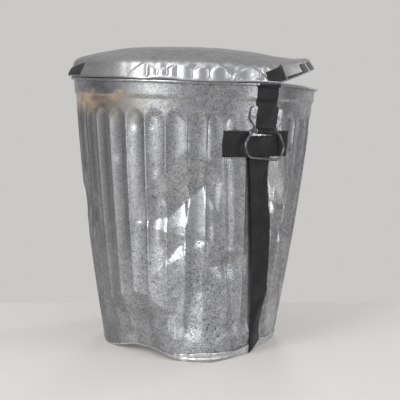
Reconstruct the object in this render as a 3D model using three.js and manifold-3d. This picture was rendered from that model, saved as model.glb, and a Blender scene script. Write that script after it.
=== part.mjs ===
// A fluted galvanized steel trash can with its lid, knocked about by long use: the foot is squeezed
// in from both sides, the wall is dented, and one end of the lid is bent up. It has a drop bail on
// two sides and strips of black cloth tape. Millimetres, +Z up. The floor is z = 0, the origin lies
// on it under the middle of the mouth, and the front faces -Y. Azimuths are degrees from the front
// towards +X.
import * as THREE from 'three';
import { mergeVertices } from 'three/addons/utils/BufferGeometryUtils.js';
import Module from 'manifold-3d';

const wasm = await Module();
wasm.setup();

// ---------------------------------------------------------------- driving dimensions

const clearance = 0.3; // between pieces that touch
const tapeClearance = 0.4; // between tape and what it is stuck to
const sheetThickness = 0.8; // galvanized steel of the wall, the bottom and the lid
const tapeThickness = 0.5; // black cloth tape
const tapeWidth = 50;

// The can as it was made
const canHeight = 533; // floor to the crest of the rolled rim
const mouthRadius = 248.5; // middle of the sheet under the rim
const wallTaper = 37.5; // the foot's radius is this much smaller
const hemHeight = 18; // foot band, where the bottom sheet is folded round the wall
const bottomRecess = 15; // the bottom sheet above the floor
const rimWireDiameter = 4;
const rimWirePlay = 0.5; // round the wire inside its roll

// Flutes: wide channels between narrow ridges, with arched tops
const fluteCount = 36;
const firstRidge = 7.5; // azimuth
const fluteDepth = 6;
const fluteFoot = 36; // lower ends above the floor
const fluteFade = 30; // over which they run out below
const fluteDrop = 54; // arched tops below the rim's crest
const fluteArch = 14; // a channel's middle reaches this much higher than its sides
const fluteFullness = 0.6; // the less, the flatter a channel's middle
const fluteLean = 7.5; // degrees that the flutes right of the front lean left over their height
const plumbHeight = 274; // where they haven't moved
const leanFrom = 0; // azimuths between which the lean grows
const leanFull = 16;
const leanFades = 32; // and over which it is lost again
const leanLost = 60;

// Swage line round the top, with the plain band above it
const swageDrop = 30; // below the rim's crest
const swageHeight = 6;
const swageStep = 2.5;

// How the whole can is crushed
const footSqueeze = 0.16; // share of its width that the foot lost sideways and gained in depth
const footLean = 12; // the foot's middle has gone this far left
const mouthSlope = 0.034; // the mouth falls this much for each millimetre to the right
const rightDroop = 8; // and the rim's right end hangs this much lower still
const droopStart = 175; // beyond this distance to the right

// Knocks in the wall. Each is deepest along a crease from one point to another, of azimuth and height,
// and fades out over some degrees to both sides. Its heights, its reach up and down and its depth are
// shares of the can's height. One of less than no depth is a bulge.
const knocks = [
  { name: 'front fold', from: [-11, 0.535], to: [5, 0.61], across: 10, reach: 0.13, depth: 0.038 },
  { name: 'by the strap', from: [43, 0.7], to: [45, 0.57], across: 11, reach: 0.07, depth: 0.0225 },
  { name: 'low in front', from: [15, 0.34], to: [24, 0.346], across: 8, reach: 0.075, depth: 0.017 },
  { name: 'low right', from: [57, 0.16], to: [62, 0.04], across: 14, reach: 0.07, depth: 0.03 },
  { name: 'left wall', from: [-72, 0.6], to: [-70, 0.5], across: 19, reach: 0.1, depth: 0.017 },
  { name: 'back left', from: [-143, 0.36], to: [-137, 0.27], across: 14, reach: 0.1, depth: 0.014 },
  { name: 'back', from: [163, 0.655], to: [178, 0.645], across: 12, reach: 0.09, depth: 0.012 },
  { name: 'kicked foot', from: [-38, 0.034], to: [-30, 0.114], across: 30, reach: 0.12, depth: 0.066 },
  { name: 'pushed out foot', from: [13, 0.034], to: [15, 0.12], across: 17, reach: 0.2, depth: -0.027 },
];
const kickedLift = 12; // the kicked stretch of the foot is raised off the floor
const kickedAzimuth = -33; // its middle
const kickedFull = 12; // degrees to each side that are raised in full
const kickedEnd = 30; // and beyond which nothing is
const kickedLiftReach = 45; // above the foot band

// Ears that hold the bails
const earAzimuths = { front: 35, back: 215 };
const earCants = { front: 4, back: 0 }; // degrees clockwise
const earThickness = 1.5;
const earDrop = 95; // bail axis below the rim's crest
const earHeight = 47; // plate above the bail's axis
const earHalfWidth = 39;
const earNeck = 0.18; // shares of its height where the plate starts to widen, is at its widest and
const earShoulder = 0.45; // starts to narrow, with the corners cut by a further share
const earCorner = 0.88;
const knuckleHalfLength = 25;
const bailPlay = 0.6; // round the bail inside the knuckle
const rivetOffset = 32; // to each side of the ear's middle
const rivetRise = 30; // above the bail's axis
const rivetShankRadius = 2.4;
const rivetHeadRadius = 5.5;
const rivetHeadHeight = 2.2;
const rivetSides = 10;

// Bails: a wire bent into a loop with a straight top bar
const bailWire = 4.8;
const bailTopHalf = 32;
const bailWideHalf = 50;
const bailWideDrop = 27;
const bailLowHalf = 38;
const bailLength = 51;
const bailTopBend = 6; // start of each bend from its corner
const bailWideBend = 14;
const bailLowBend = 12;
const bailButtGap = 0.6; // between the wire's two ends, inside the knuckle

// Tape on the can
const lowerStrapTopAzimuth = 33.5;
const lowerStrapFootAzimuth = 48;
const lowerStrapFoot = 1.5; // its end above the floor, on the left
const lowerStrapCut = 15; // the strap's right edge ends this much higher than its left
const hemRun = 12; // over which the strap comes down from the hem's edge to the wall
const crossStrapLeft = 13.7; // azimuths of the cross strap's ends
const crossStrapRight = 51;
const crossStrapDrop = 93; // its top edge below the rim's crest
const notchMargin = 6; // of its notch, to each side of the ear's knuckle
const notchSlope = 4; // degrees over which the notch's ends rise
const notchDepth = 2; // below the knuckle

// Lid as it was made: dome, shoulder and skirt over a ledge that rests on the rim
const lidOverhang = 2.8; // of the skirt's foot beyond the can's rolled rim
const lidHeight = 68;
const lidShift = 3; // the lid has slid this far left
const skirtHeight = 28;
const skirtTaper = 3.5; // the skirt's top is this much narrower
const shoulderInset = 26; // where the shoulder meets the dome
const shoulderRise = 14; // above the skirt
const ledgeWidth = 13;
const beadBend = 2; // between the ledge and the skirt
const crinkleDepth = 4;
const crinkleSpan = 33; // degrees to each side of the front
const flapStart = 166; // the lid is folded up beyond this distance to the right
const flapAngle = 21;
const flapFlattening = 0.25; // share of its height that the folded end lost
const foldReach = 60; // the sheet is pressed together this far from the fold

// ---------------------------------------------------------------- working values

const radians = THREE.MathUtils.degToRad;
const { clamp, lerp } = THREE.MathUtils;
const wallTier = 36; // about the height of each tier of the wall's facets
const wallColumns = fluteCount * 3; // a ridge and two points of a channel for each flute
const plainColumns = wallColumns / 2;
const lidColumns = 72;
const rollRadius = rimWireDiameter / 2 + rimWirePlay + sheetThickness / 2; // middle of the rolled sheet
const rollHeight = canHeight - rollRadius - sheetThickness / 2; // height of the wire
const footRadius = mouthRadius - wallTaper;
const lidRadius = mouthRadius + 2 * rollRadius + sheetThickness / 2 + lidOverhang;
const fluteTop = canHeight - fluteDrop;
const swageTop = canHeight - swageDrop;
const bandTop = hemHeight + clearance; // the foot band's upper edge
const bailHeight = canHeight - earDrop;
const onSheet = sheetThickness / 2 + clearance; // from the middle of a sheet to what lies on it
const onTaped = sheetThickness / 2 + tapeClearance + tapeThickness / 2; // to the middle of its tape
const knuckleRadius = bailWire / 2 + bailPlay + earThickness / 2;
const earSeat = onSheet + earThickness / 2; // middle of the ear's plate off the wall
const nested = sheetThickness + clearance; // between the middles of two sheets face to face

const steel = (color, roughness) => new THREE.MeshStandardMaterial({ color, roughness, metalness: 0.9 });
const materials = {
  wall: steel(0x9fa3a5, 0.45),
  lid: steel(0x8e8f90, 0.5),
  bottom: steel(0xa3a7a9, 0.45),
  fittings: steel(0x8d9193, 0.4),
  bail: steel(0x6f7274, 0.4),
  tape: new THREE.MeshStandardMaterial({ color: 0x1b1b1c, roughness: 0.7, metalness: 0 }),
};

// 0 below start, 1 beyond end, and even between them.
const ramp = (value, start, end) => clamp((value - start) / (end - start), 0, 1);

// ---------------------------------------------------------------- surfaces and solids

// Joins one row of points to the next with triangles. Rows may differ in length, and a row of one
// point is the middle of a fan. Diagonals rise to the left, whichever way the rows go, so that
// nested sheets stay parallel.
function zipRows(triangles, lower, upper, closed) {
  const falling = upper[0].z < lower[0].z;
  const steps = (row) => (row.length === 1 ? 0 : row.length - (closed ? 0 : 1));
  const point = (row, index) => row[index % row.length];
  const lowerSteps = steps(lower);
  const upperSteps = steps(upper);
  let i = 0;
  let j = 0;
  while (i < lowerSteps || j < upperSteps) {
    const lead = (j + 1) * lowerSteps - (i + 1) * Math.max(upperSteps, 1);
    if (j >= upperSteps || (i < lowerSteps && (lead > 0 || (lead === 0 && !falling)))) {
      triangles.push(point(lower, i), point(lower, i + 1), point(upper, j));
      i += 1;
    } else {
      triangles.push(point(lower, i), point(upper, j + 1), point(upper, j));
      j += 1;
    }
  }
}

function weldedGeometry(triangles) {
  const geometry = new THREE.BufferGeometry().setFromPoints(triangles);
  return mergeVertices(geometry, 1e-4);
}

// An open surface through rows of points, facing the side from which the rows climb and their
// points run to the right.
function surfaceThrough(rows, closed) {
  const triangles = [];
  for (let row = 1; row < rows.length; row += 1) zipRows(triangles, rows[row - 1], rows[row], closed);
  return weldedGeometry(triangles);
}

// For each point of a surface, the step out of it that moves every face round the point by one unit.
function unitOffsets(points, corners) {
  const faces = points.map(() => []);
  const triangle = new THREE.Triangle();
  for (let start = 0; start < corners.length; start += 3) {
    const around = [0, 1, 2].map((corner) => corners[start + corner]);
    triangle.set(...around.map((index) => points[index]));
    const normal = triangle.getNormal(new THREE.Vector3());
    around.forEach((index, corner) => {
      const side = (turn) => points[around[(corner + turn) % 3]].clone().sub(points[index]);
      faces[index].push({ normal, angle: side(1).angleTo(side(2)) });
    });
  }
  return faces.map((meeting) => {
    const out = new THREE.Vector3();
    for (const { normal, angle } of meeting) out.addScaledVector(normal, angle);
    out.normalize();
    const turned = meeting.reduce((sum, { normal, angle }) => sum + angle * normal.dot(out), 0);
    const all = meeting.reduce((sum, { angle }) => sum + angle, 0);
    return out.multiplyScalar(Math.min(2, all / turned));
  });
}

// A sheet whose middle is the surface, or lies a step off its front: a skin on each side, and a
// strip along each free edge.
function thicken(surface, thickness, off = 0) {
  const { position } = surface.attributes;
  const corners = surface.index.array;
  const middle = Array.from({ length: position.count }, (_, index) => new THREE.Vector3()
    .fromBufferAttribute(position, index));
  const offsets = unitOffsets(middle, corners);
  const skin = (distance) => middle
    .map((point, index) => point.clone().addScaledVector(offsets[index], distance));
  const front = skin(off + thickness / 2);
  const back = skin(off - thickness / 2);
  const triangles = [];
  const edges = new Map();
  for (let start = 0; start < corners.length; start += 3) {
    const [a, b, c] = corners.subarray(start, start + 3);
    triangles.push(front[a], front[b], front[c], back[c], back[b], back[a]);
    for (const [from, to] of [[a, b], [b, c], [c, a]]) edges.set(`${from},${to}`, [from, to]);
  }
  for (const [from, to] of edges.values()) {
    if (edges.has(`${to},${from}`)) continue;
    triangles.push(front[to], front[from], back[from], front[to], back[from], back[to]);
  }
  return weldedGeometry(triangles);
}

function toManifold(geometry) {
  const bare = geometry.clone();
  bare.deleteAttribute('normal');
  bare.deleteAttribute('uv');
  const welded = mergeVertices(bare, 1e-4);
  return new wasm.Manifold(new wasm.Mesh({
    numProp: 3,
    vertProperties: new Float32Array(welded.attributes.position.array),
    triVerts: new Uint32Array(welded.index.array),
  }));
}

function fromManifold(solid) {
  const mesh = solid.getMesh();
  const geometry = new THREE.BufferGeometry();
  geometry.setAttribute('position', new THREE.BufferAttribute(new Float32Array(mesh.vertProperties), 3));
  geometry.setIndex(new THREE.BufferAttribute(new Uint32Array(mesh.triVerts), 1));
  return geometry;
}

function withHoles(geometry, drills) {
  const drilled = drills.reduce((solid, drill) => solid.subtract(toManifold(drill)), toManifold(geometry));
  return fromManifold(drilled);
}

function piece(name, geometry, material) {
  const mesh = new THREE.Mesh(geometry, material);
  mesh.name = name;
  geometry.computeVertexNormals();
  return mesh;
}

// ---------------------------------------------------------------- the crushed can

// Radius of the middle of the wall's sheet along its ridges, as made.
function wallRadius(z) {
  const straight = lerp(footRadius, mouthRadius - swageStep, z / canHeight);
  return straight + swageStep * ramp(z, swageTop - swageHeight, swageTop);
}

function turnBetween(azimuth, other) {
  return THREE.MathUtils.euclideanModulo(azimuth - other + 180, 360) - 180;
}

// How far a knock has moved the wall inwards, evenly less away from its crease.
function creaseDepth({ from, to, across, reach, depth }, azimuth, height) {
  const place = new THREE.Vector2(turnBetween(azimuth, from[0]) / across, (height - from[1]) / reach);
  const end = new THREE.Vector2((to[0] - from[0]) / across, (to[1] - from[1]) / reach);
  const nearest = end.clone().multiplyScalar(clamp(place.dot(end) / end.lengthSq(), 0, 1));
  return depth * Math.max(0, 1 - place.distanceTo(nearest));
}

// All the knocks together. The stiff foot band moves in one.
function knockedIn(azimuth, z) {
  const level = Math.max(z, bandTop) / canHeight;
  return knocks.reduce((sum, knock) => sum + canHeight * creaseDepth(knock, azimuth, level), 0);
}

function kickedUp(azimuth, z) {
  const aside = Math.abs(turnBetween(azimuth, kickedAzimuth));
  const raised = 1 - ramp(aside, kickedFull, kickedEnd);
  return kickedLift * raised * (1 - ramp(z, bandTop, bandTop + kickedLiftReach));
}

// How far the mouth's plane lies above its middle at x.
function mouthRise(x) {
  return -mouthSlope * x - rightDroop * ramp(x, droopStart, mouthRadius) ** 1.5;
}

// Where a point of the can as made has gone. Knocks fade out towards the middle of the bottom.
function crushed(azimuth, radius, z, knocked = true) {
  const down = 1 - z / canHeight;
  const squeeze = footSqueeze * down * down;
  const share = knocked ? Math.min(1, (radius / (wallRadius(z) - 2 * nested)) ** 4) : 0;
  const knockedRadius = radius - knockedIn(azimuth, z) * share;
  const angle = radians(azimuth);
  const x = knockedRadius * Math.sin(angle) * (1 - squeeze) - footLean * down;
  const y = -knockedRadius * Math.cos(angle) * (1 + squeeze);
  const high = clamp(z / canHeight, 0, 1) ** 2;
  return new THREE.Vector3(x, y, z + kickedUp(azimuth, z) * share + mouthRise(x) * high);
}

// A point this far outside the wall's ridges, square to them. It passes straight over the knocks.
function offWall(azimuth, z, distance) {
  const ridge = (turn, climb) => crushed(azimuth + turn, wallRadius(z + climb), z + climb, false);
  const aside = ridge(0.5, 0).sub(ridge(-0.5, 0));
  const up = ridge(0, 2).sub(ridge(0, -2));
  return ridge(0, 0).addScaledVector(aside.cross(up).normalize(), distance);
}

// How far the flutes have moved round the can.
function leaning(azimuth, z) {
  const share = ramp(azimuth, leanFrom, leanFull) * (1 - ramp(azimuth, leanFades, leanLost));
  const height = clamp(z, fluteFoot, fluteTop) - plumbHeight;
  return (-fluteLean * share * height) / (fluteTop - fluteFoot);
}

// How much of their depth the flutes keep: they run out at both ends and behind the ears.
function fluteShare(azimuth, z) {
  const turn = THREE.MathUtils.euclideanModulo((azimuth - firstRidge) * (fluteCount / 360), 1);
  const channel = Math.sin(Math.PI * turn);
  const top = fluteTop - fluteArch * (1 - channel);
  const kept = ramp(z, fluteFoot, fluteFoot + fluteFade) * ramp(-z, -top, -top + fluteArch);
  const behindEar = Object.values(earAzimuths).some((ear) => {
    const reach = THREE.MathUtils.radToDeg(earHalfWidth / mouthRadius) + 2;
    return Math.abs(turnBetween(azimuth, ear)) < reach && z > bailHeight - earHeight / 2;
  });
  return behindEar ? 0 : kept * channel ** fluteFullness;
}

function wallRing(z, columns, radiusAt = wallRadius(z)) {
  return Array.from({ length: columns }, (_, column) => {
    const azimuth = firstRidge + (column * 360) / columns;
    const radius = radiusAt - fluteDepth * fluteShare(azimuth, z);
    return crushed(azimuth + leaning(azimuth, z), radius, z);
  });
}

// ---------------------------------------------------------------- can pieces

// The fluted wall, with its top edge rolled outwards round the wire.
function wallSurface() {
  const rings = [wallRing(nested, plainColumns), wallRing(bandTop, plainColumns)];
  rings.push(wallRing(fluteFoot, plainColumns));
  const lowest = fluteFoot + fluteFade;
  const highest = fluteTop - 2 * fluteArch;
  const tiers = Math.round((highest - lowest) / wallTier);
  for (let tier = 0; tier <= tiers; tier += 1) {
    rings.push(wallRing(lerp(lowest, highest, tier / tiers), wallColumns));
  }
  rings.push(wallRing(fluteTop - fluteArch / 2, wallColumns), wallRing(fluteTop, plainColumns));
  rings.push(wallRing(swageTop - swageHeight, plainColumns), wallRing(swageTop, plainColumns));
  const rollSteps = 6;
  for (let step = 0; step <= rollSteps; step += 1) {
    const angle = radians(lerp(180, -110, step / rollSteps));
    const radius = mouthRadius + rollRadius * (1 + Math.cos(angle));
    rings.push(wallRing(rollHeight + rollRadius * Math.sin(angle), plainColumns, radius));
  }
  return surfaceThrough(rings, true);
}

function rimWire() {
  const sides = 6;
  const rings = Array.from({ length: sides + 1 }, (_, side) => {
    const angle = radians((side % sides) * (360 / sides));
    const radius = mouthRadius + rollRadius + (rimWireDiameter / 2) * Math.cos(angle);
    return wallRing(rollHeight + (rimWireDiameter / 2) * Math.sin(angle), plainColumns, radius);
  });
  return surfaceThrough(rings, true);
}

// The bottom sheet: a disc set up inside the foot, turned down inside the wall, under its edge and
// up round its outside.
function bottomSurface() {
  const fold = sheetThickness / 2;
  const ring = (z, offset) => wallRing(z, plainColumns, wallRadius(z) + offset);
  const rows = [
    [crushed(0, 0, bottomRecess)],
    wallRing(bottomRecess, plainColumns, wallRadius(bottomRecess) * 0.8),
    ring(bottomRecess, -nested),
    ring(fold, -nested),
    ring(fold, nested),
    ring(hemHeight, nested),
  ];
  return surfaceThrough(rows, true);
}

// ---------------------------------------------------------------- ears, rivets and bails

// An ear's own frame: x to the right along the wall, y into the can and z up the wall, with the
// bail's axis through its origin.
function earFrame(side) {
  const azimuth = earAzimuths[side];
  const seat = offWall(azimuth, bailHeight, 0);
  const out = offWall(azimuth, bailHeight, 1).sub(seat);
  const up = offWall(azimuth, bailHeight + earHeight, 0).sub(offWall(azimuth, bailHeight, 0));
  const right = up.clone().cross(out).normalize();
  right.applyAxisAngle(out, -radians(earCants[side]));
  const raised = out.clone().cross(right);
  const frame = new THREE.Matrix4().makeBasis(right, out.clone().negate(), raised);
  return frame.setPosition(seat.addScaledVector(out, earSeat + knuckleRadius));
}

// A stamped plate whose lower edge is curled round the bail.
function earGeometry() {
  const plateDepth = knuckleRadius; // behind the axis
  const outline = [];
  const curlSteps = 6;
  for (let step = curlSteps; step >= 0; step -= 1) {
    const angle = radians(lerp(0, 265, step / curlSteps));
    const y = plateDepth * Math.cos(angle);
    outline.push([knuckleHalfLength, y, -plateDepth * Math.sin(angle)]);
  }
  outline.push([knuckleHalfLength, plateDepth, earHeight * earNeck]);
  outline.push([earHalfWidth, plateDepth, earHeight * earShoulder]);
  outline.push([earHalfWidth, plateDepth, earHeight * earCorner]);
  outline.push([earHalfWidth - earHeight * (1 - earCorner), plateDepth, earHeight]);
  const rows = outline.map(([half, y, z]) => [-1, -0.5, 0, 0.5, 1]
    .map((share) => new THREE.Vector3(half * share, y, z)));
  return thicken(surfaceThrough(rows, false), earThickness);
}

// How far the wall's middle falls away behind the ear's plate, this far to one side.
function wallFall(aside) {
  return mouthRadius - Math.sqrt(mouthRadius ** 2 - aside ** 2);
}

function rivetDrill(side) {
  const reach = 4 * (earSeat + wallFall(rivetOffset) + rivetHeadHeight);
  const hole = rivetShankRadius + clearance;
  const drill = new THREE.CylinderGeometry(hole, hole, reach, rivetSides);
  return drill.translate(side * rivetOffset, knuckleRadius, rivetRise);
}

// A rivet through ear and wall: domed head outside, shank, and a flat set head inside.
function rivetGeometry() {
  const outer = earThickness / 2 + clearance;
  const inner = -(earSeat + wallFall(rivetOffset + rivetHeadRadius) + onSheet + clearance);
  const profile = [
    [0, inner - rivetHeadHeight / 2], [rivetHeadRadius * 0.75, inner - rivetHeadHeight / 2],
    [rivetHeadRadius * 0.75, inner], [rivetShankRadius, inner], [rivetShankRadius, outer],
    [rivetHeadRadius, outer], [rivetHeadRadius * 0.8, outer + rivetHeadHeight * 0.65],
    [0, outer + rivetHeadHeight],
  ];
  return new THREE.LatheGeometry(profile.map(([x, y]) => new THREE.Vector2(x, y)), rivetSides);
}

// The bail's frame has the ear's axis, but hangs plumb.
function bailFrame(side) {
  const ear = earFrame(side);
  const right = new THREE.Vector3().setFromMatrixColumn(ear, 0);
  const up = new THREE.Vector3(0, 0, 1).projectOnPlane(right).normalize();
  const frame = new THREE.Matrix4().makeBasis(right, up.clone().cross(right), up);
  return frame.copyPosition(ear);
}

function bailGeometry() {
  const rightSide = [
    [bailTopHalf, 0, bailTopBend], [bailWideHalf, -bailWideDrop, bailWideBend],
    [bailLowHalf, -bailLength, bailLowBend],
  ];
  const leftSide = rightSide.map(([x, z, bend]) => [-x, z, bend]).reverse();
  const corners = [...rightSide, ...leftSide]
    .map(([x, z, bend]) => ({ at: new THREE.Vector3(x, 0, z), bend }));
  const path = new THREE.CurvePath();
  let from = new THREE.Vector3(bailButtGap / 2, 0, 0);
  corners.forEach(({ at, bend }, index) => {
    const last = new THREE.Vector3(-bailButtGap / 2, 0, 0);
    const next = index + 1 < corners.length ? corners[index + 1].at : last;
    const into = at.clone().add(from.clone().sub(at).setLength(bend));
    const outOf = at.clone().add(next.clone().sub(at).setLength(bend));
    path.add(new THREE.LineCurve3(from, into));
    path.add(new THREE.QuadraticBezierCurve3(into, at, outOf));
    from = outOf;
    if (next === last) path.add(new THREE.LineCurve3(from, last));
  });
  const section = new THREE.Shape().absarc(0, 0, bailWire / 2, 0, 2 * Math.PI);
  return new THREE.ExtrudeGeometry(section, { steps: 54, curveSegments: 3, extrudePath: path });
}

// ---------------------------------------------------------------- tape on the can

// A strip of tape through rows of points.
const tapeStrip = (rows) => thicken(surfaceThrough(rows, false), tapeThickness);
const across = (count) => Array.from({ length: count + 1 }, (_, step) => (2 * step) / count - 1);
const halfTurn = (z, width) => THREE.MathUtils.radToDeg(width / 2 / wallRadius(z));

// Down the wall from the cross strap and over the foot's hem, cut slantwise at its end.
function lowerStrap() {
  const top = canHeight - crossStrapDrop - tapeWidth - 2 * clearance;
  const aboveHem = hemHeight + 2 * clearance;
  const offHem = aboveHem + hemRun;
  const tiers = 9;
  const heights = Array.from({ length: tiers + 1 }, (_, tier) => lerp(offHem, top, tier / tiers));
  const strapPoint = (share, z) => {
    const middle = lerp(lowerStrapFootAzimuth, lowerStrapTopAzimuth, z / top);
    const overHem = nested * (1 - ramp(z, aboveHem, offHem));
    return offWall(middle + share * halfTurn(z, tapeWidth), z, onTaped + overHem);
  };
  const cutHeight = (share) => lowerStrapFoot + (lowerStrapCut * (share + 1)) / 2;
  const cutEnd = across(5).map((share) => strapPoint(share, cutHeight(share)));
  const rows = [aboveHem, ...heights].map((z) => across(5).map((share) => strapPoint(share, z)));
  return tapeStrip([cutEnd, ...rows]);
}

// Along the wall behind the bail, its top edge notched below the ear's knuckle.
function crossStrap() {
  const columns = across(14).map((share) => lerp(crossStrapLeft, crossStrapRight, (share + 1) / 2));
  const reach = THREE.MathUtils.radToDeg((knuckleHalfLength + notchMargin) / mouthRadius);
  const rows = [];
  for (let tier = 0; tier <= 3; tier += 1) {
    rows.push(columns.map((azimuth) => {
      const fromEar = Math.abs(turnBetween(azimuth, earAzimuths.front));
      const underKnuckle = bailHeight - knuckleRadius - earThickness - notchDepth;
      const topEdge = canHeight - crossStrapDrop;
      const top = lerp(Math.min(underKnuckle, topEdge), topEdge, ramp(fromEar, reach, reach + notchSlope));
      const z = lerp(canHeight - crossStrapDrop - tapeWidth, top, tier / 3);
      return offWall(azimuth, z, onTaped);
    }));
  }
  return tapeStrip(rows);
}

// From the rolled rim down over the ear's plate to the front of its knuckle.
function upperStrap() {
  const frame = earFrame('front');
  const overEar = knuckleRadius + earThickness / 2 + tapeClearance + tapeThickness / 2;
  const plateFace = knuckleRadius - earThickness / 2 - tapeClearance - tapeThickness / 2;
  const earRow = (y, z) => across(4)
    .map((share) => new THREE.Vector3((share * tapeWidth) / 2, y, z).applyMatrix4(frame));
  const azimuth = earAzimuths.front;
  const wallRow = (z, pointAt) => across(4)
    .map((share) => pointAt(azimuth + share * halfTurn(z, tapeWidth), z));
  const knuckleRows = [-50, -22, 6, 34, 62, 90].map(radians)
    .map((angle) => earRow(-overEar * Math.cos(angle), overEar * Math.sin(angle)));
  const plateRows = [2 * overEar, earHeight + 1].map((z) => earRow(plateFace, z));
  const bandRows = [swageTop - swageHeight, swageTop, rollHeight - 2 * rollRadius]
    .map((z) => wallRow(z, (turn) => offWall(turn, z, onTaped)));
  const overRoll = rollRadius + onTaped;
  const rollRows = [-60, -20, 20].map(radians).map((angle) => {
    const radius = mouthRadius + rollRadius + overRoll * Math.cos(angle);
    return wallRow(rollHeight + overRoll * Math.sin(angle), (turn, z) => crushed(turn, radius, z));
  });
  return tapeStrip([...knuckleRows, ...plateRows, ...bandRows, ...rollRows]);
}

// ---------------------------------------------------------------- lid

// Profile of the lid's middle surface from the ledge's inner edge out, up the skirt and over to the
// middle of the dome: radius and height above the rim's crest.
const lidSeat = clearance + sheetThickness / 2;
const lidOuter = lidRadius - sheetThickness / 2;
const lidProfile = [
  [lidOuter - ledgeWidth, lidSeat], [lidOuter - 0.75 * beadBend, lidSeat], [lidOuter, lidSeat + beadBend],
  [lidOuter - skirtTaper / 2, lidSeat + skirtHeight / 2], [lidOuter - skirtTaper, lidSeat + skirtHeight],
  [lidOuter - shoulderInset / 2, lidSeat + skirtHeight + shoulderRise * 0.62],
  [lidOuter - shoulderInset, lidSeat + skirtHeight + shoulderRise],
];
const domeFoot = lidProfile[lidProfile.length - 1];

function domeHeight(radius) {
  const share = radius / domeFoot[0];
  return lerp(lidSeat + lidHeight, domeFoot[1], share ** 2.4);
}

// Small pleats pressed into the front of the skirt.
function crinkle(azimuth, height) {
  const near = Math.max(0, 1 - (turnBetween(azimuth, 0) / crinkleSpan) ** 2);
  const pleat = 0.5 + 0.5 * Math.cos(radians(azimuth * 36));
  const onSkirt = ramp(height, lidSeat + beadBend, lidSeat + skirtHeight / 2);
  return crinkleDepth * near * pleat * onSkirt * (height > lidSeat + skirtHeight + shoulderRise ? 0 : 1);
}

// A point of the lid before it was folded, slid left on the rim.
function flatLid(azimuth, radius, height) {
  const pleated = radius - crinkle(azimuth, height);
  const angle = radians(azimuth);
  return new THREE.Vector3(pleated * Math.sin(angle) - lidShift, -pleated * Math.cos(angle), height);
}

// Splits each triangle that crosses the plane x = crease, so that the sheet can fold along it.
function creased(triangles, crease) {
  const split = [];
  for (let start = 0; start < triangles.length; start += 3) {
    const corners = triangles.slice(start, start + 3);
    const beyond = corners.map((corner) => corner.x > crease);
    const countBeyond = beyond.filter(Boolean).length;
    const lone = beyond.indexOf(countBeyond === 1);
    if (countBeyond % 3 === 0) {
      split.push(...corners);
      continue;
    }
    const [tip, second, third] = [0, 1, 2].map((turn) => corners[(lone + turn) % 3]);
    const crossing = (end) => {
      const [low, high] = tip.x < end.x ? [tip, end] : [end, tip];
      return low.clone().lerp(high, (crease - low.x) / (high.x - low.x)).setX(crease);
    };
    const [toSecond, toThird] = [crossing(second), crossing(third)];
    split.push(tip, toSecond, toThird, toSecond, second, third, toSecond, third, toThird);
  }
  return split;
}

// Where a point of the flat lid has gone: its right end is folded up, the height pressed together
// on both sides of the fold, and the whole tilted with the mouth that it rests on.
function folded({ x, y, z: height }) {
  const half = Math.tan(radians(flapAngle) / 2);
  const along = x - flapStart;
  const pressed = half * Math.max(0, 1 - Math.abs(along) / foldReach);
  const point = new THREE.Vector3(x - height * pressed, y, height);
  if (along > 0) {
    const turn = radians(flapAngle);
    const z = height * (1 - flapFlattening * ramp(along, 0, foldReach));
    const out = along + z * pressed;
    point.x = flapStart + out * Math.cos(turn) - z * Math.sin(turn);
    point.z = out * Math.sin(turn) + z * Math.cos(turn);
  }
  point.z += canHeight - mouthSlope * point.x;
  return point;
}

function lidRing(radius, height, columns = lidColumns) {
  return Array.from({ length: columns }, (_, column) => flatLid((column * 360) / columns, radius, height));
}

function lidSurface() {
  const rows = lidProfile.map(([radius, height]) => lidRing(radius, height));
  for (const share of [0.72, 0.4]) {
    const radius = domeFoot[0] * share;
    rows.push(lidRing(radius, domeHeight(radius), lidColumns / 2));
  }
  rows.push([flatLid(0, 0, domeHeight(0))]);
  return surfaceThrough(rows, true);
}

// Folds a piece of the flat lid with it.
function bent(geometry) {
  const { position } = geometry.attributes;
  const triangles = Array.from(geometry.index.array, (index) => new THREE.Vector3()
    .fromBufferAttribute(position, index));
  return weldedGeometry(creased(triangles, flapStart).map(folded));
}

// A patch of tape on the skirt between two azimuths. Its heights are shares of the skirt's.
function lidPatch({ left, right, low, highLeft, highRight }) {
  const half = lidRadius * Math.sin(radians((right - left) / 2));
  const outline = [[-half, low], [half, low], [half, highRight], [-half, highLeft]];
  const corners = outline.map(([x, height]) => new THREE.Vector2(x, lidSeat + height * skirtHeight));
  const extrusion = { depth: 2 * shoulderInset, bevelEnabled: false };
  const cutter = new THREE.ExtrudeGeometry(new THREE.Shape(corners), extrusion);
  cutter.translate(0, 0, lidRadius - shoulderInset).rotateX(Math.PI / 2);
  cutter.rotateZ(radians((left + right) / 2)).translate(-lidShift, 0, 0);
  const tape = toManifold(thicken(lidSurface(), tapeThickness, onTaped));
  return bent(fromManifold(tape.intersect(toManifold(cutter))));
}

const lidPatches = {
  tape_lid_right: { left: 34, right: 45, low: 0.1, highLeft: 0.71, highRight: 1.18 },
  tape_lid_left: { left: -80, right: -61, low: 0.1, highLeft: 0.54, highRight: 0.93 },
  tape_lid_edge: { left: 46, right: 59, low: 0.09, highLeft: 0.25, highRight: 0.25 },
  tape_lid_end_front: { left: 60, right: 66, low: 0.09, highLeft: 0.93, highRight: 0.93 },
  tape_lid_end_side: { left: 69, right: 76, low: 0.09, highLeft: 0.93, highRight: 0.93 },
};

// ---------------------------------------------------------------- assembly

const trashCan = new THREE.Group();
const drills = [];

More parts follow.
